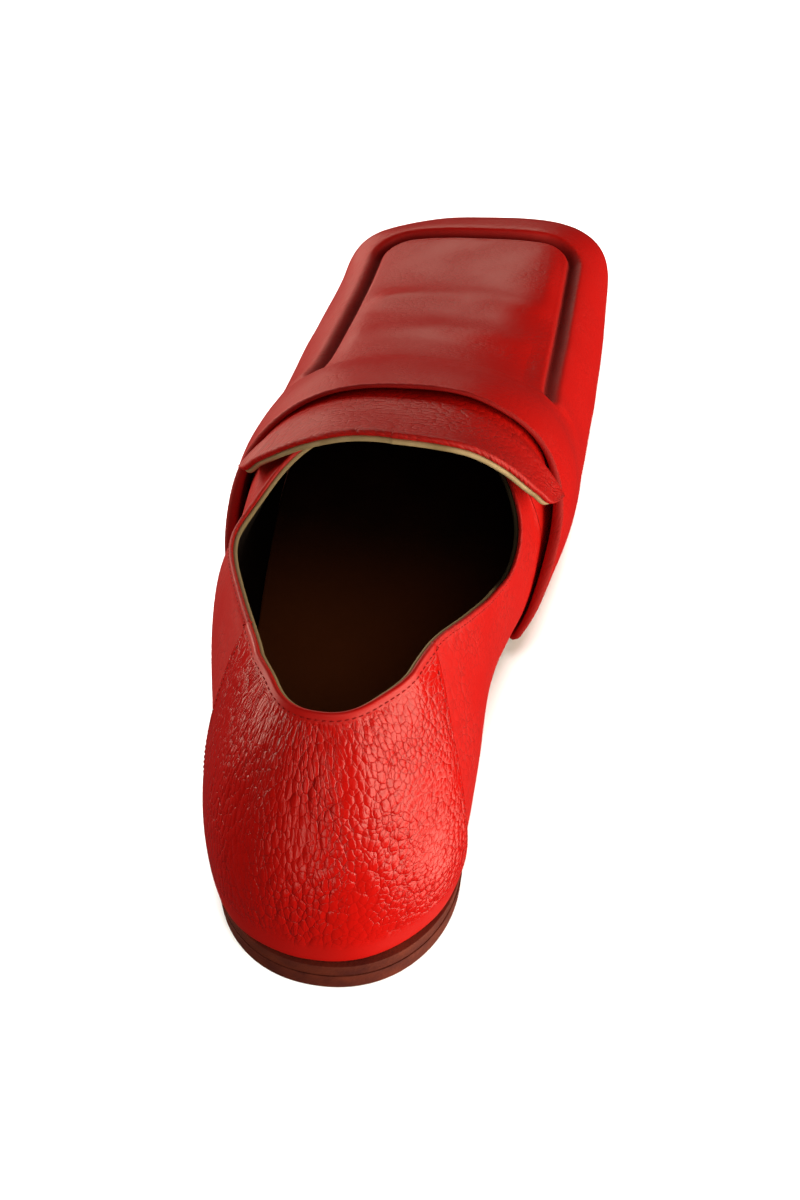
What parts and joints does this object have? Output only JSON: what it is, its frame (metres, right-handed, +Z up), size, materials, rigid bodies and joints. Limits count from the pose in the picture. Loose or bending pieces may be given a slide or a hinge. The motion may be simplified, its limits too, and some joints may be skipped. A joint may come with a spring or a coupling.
{
  "type": "loafer shoe",
  "caption": "Square-toed slip-on leather loafer for the left foot, with a sunk apron on the vamp, a free rear edge over a wide tongue, a heel panel and a thin low-heeled leather sole.",
  "frame": {"origin": "middle of the shoe's bounding box, on the floor plane under the sole", "axes": "+Y from heel to toe, +X towards the inner side of the foot, +Z up"},
  "size_m": [0.0905, 0.2786, 0.0773],
  "materials": {
    "upper_leather": "grained, semi-gloss red",
    "insole_leather": "smooth, dark brown",
    "sole_leather": "matt, dark reddish brown",
    "heel_leather": "matt, dark reddish brown"
  },
  "bodies": {
    "root": {"outsole": "sole_leather", "heel": "heel_leather", "insole": "insole_leather", "upper": "upper_leather", "heel_panel": "upper_leather", "tongue": "upper_leather"}
  },
  "joints": []
}
